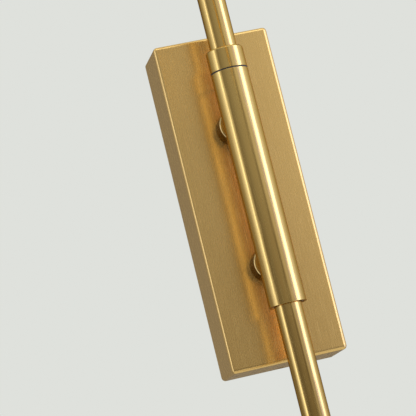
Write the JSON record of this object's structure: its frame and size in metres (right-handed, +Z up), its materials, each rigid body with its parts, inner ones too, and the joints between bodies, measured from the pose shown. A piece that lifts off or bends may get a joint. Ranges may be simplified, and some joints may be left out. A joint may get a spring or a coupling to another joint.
{
  "type": "articulating wall lamp",
  "caption": "Wall light with a box-shaped brass plate: a tall pole swivels in an upright sleeve, a long arm tilts on top of it, and a head with a cone shade tilts at the arm's end.",
  "frame": {"origin": "centre of the wall cover, on the wall face", "axes": "+Z up, +Y into the wall, the lamp stands out towards -Y, +X to the right of someone who faces the wall"},
  "size_m": [0.1016, 0.5022, 0.5355],
  "materials": {
    "satin_brass": "fine brushed along its length, clear lacquered, satin",
    "zinc_steel": "bright zinc plated",
    "black_steel": "black oxide",
    "black_nylon": "black nylon",
    "natural_nylon": "natural nylon",
    "moulded_holder": "pale moulded thermoset",
    "nickel_cap": "plated screw cap",
    "opal_glass": "opal blown glass"
  },
  "bodies": {
    "root": {"wall_bracket": "zinc_steel", "back_cover": "satin_brass", "stiffener_plate": "zinc_steel", "cover_screws": "black_steel", "upper_standoff": "satin_brass", "lower_standoff": "satin_brass", "standoff_washers": "zinc_steel", "standoff_nuts": "zinc_steel", "pivot_sleeve": "satin_brass", "upper_bush": "natural_nylon", "lower_bush": "natural_nylon", "thrust_washer": "black_nylon", "terminal_block": "natural_nylon", "terminal_screws": "zinc_steel", "earth_screw": "zinc_steel", "earth_washer": "zinc_steel"},
    "pole": {"pole": "satin_brass", "stop_collar": "satin_brass", "collar_grub_screw": "black_steel", "pole_end_cap": "satin_brass", "elbow_fork": "satin_brass", "elbow_bolt": "satin_brass"},
    "elbow_nut": {"elbow_thumb_nut": "satin_brass"},
    "arm": {"elbow_tongue": "satin_brass", "elbow_friction_washers": "black_nylon", "arm_tube": "satin_brass", "arm_fork": "satin_brass", "head_bolt": "satin_brass"},
    "head_nut_body": {"head_thumb_nut": "satin_brass"},
    "head": {"head_tongue": "satin_brass", "head_friction_washers": "black_nylon", "head_nut": "zinc_steel", "socket_cup": "satin_brass", "lampholder": "moulded_holder", "lamp_cap": "nickel_cap", "glass_globe": "opal_glass", "shade": "satin_brass", "shade_ring": "moulded_holder"},
    "switch": {"switch_knob": "satin_brass"}
  },
  "joints": [
    {"name": "pole_swivel", "type": "hinge", "parent": "root", "child": "pole", "pos_m": [0, -0.061, 0.0703], "axis": [0, 0, 1], "range_deg": [-90, 90]},
    {"name": "arm_tilt", "type": "hinge", "parent": "pole", "child": "arm", "pos_m": [0, -0.061, 0.3075], "axis": [-1, 0, 0], "range_deg": [-45, 60]},
    {"name": "head_tilt", "type": "hinge", "parent": "arm", "child": "head", "pos_m": [0, -0.4515, 0.3075], "axis": [-1, 0, 0], "range_deg": [-40, 80]},
    {"name": "elbow_thumb_nut_turn", "type": "hinge", "parent": "pole", "child": "elbow_nut", "pos_m": [0, -0.061, 0.3075], "axis": [1, 0, 0], "continuous": true},
    {"name": "head_thumb_nut_turn", "type": "hinge", "parent": "arm", "child": "head_nut_body", "pos_m": [0, -0.4515, 0.3075], "axis": [1, 0, 0], "continuous": true},
    {"name": "switch_knob_turn", "type": "hinge", "parent": "head", "child": "switch", "pos_m": [0, -0.4695, 0.2595], "axis": [0, -1, 0], "continuous": true}
  ]
}
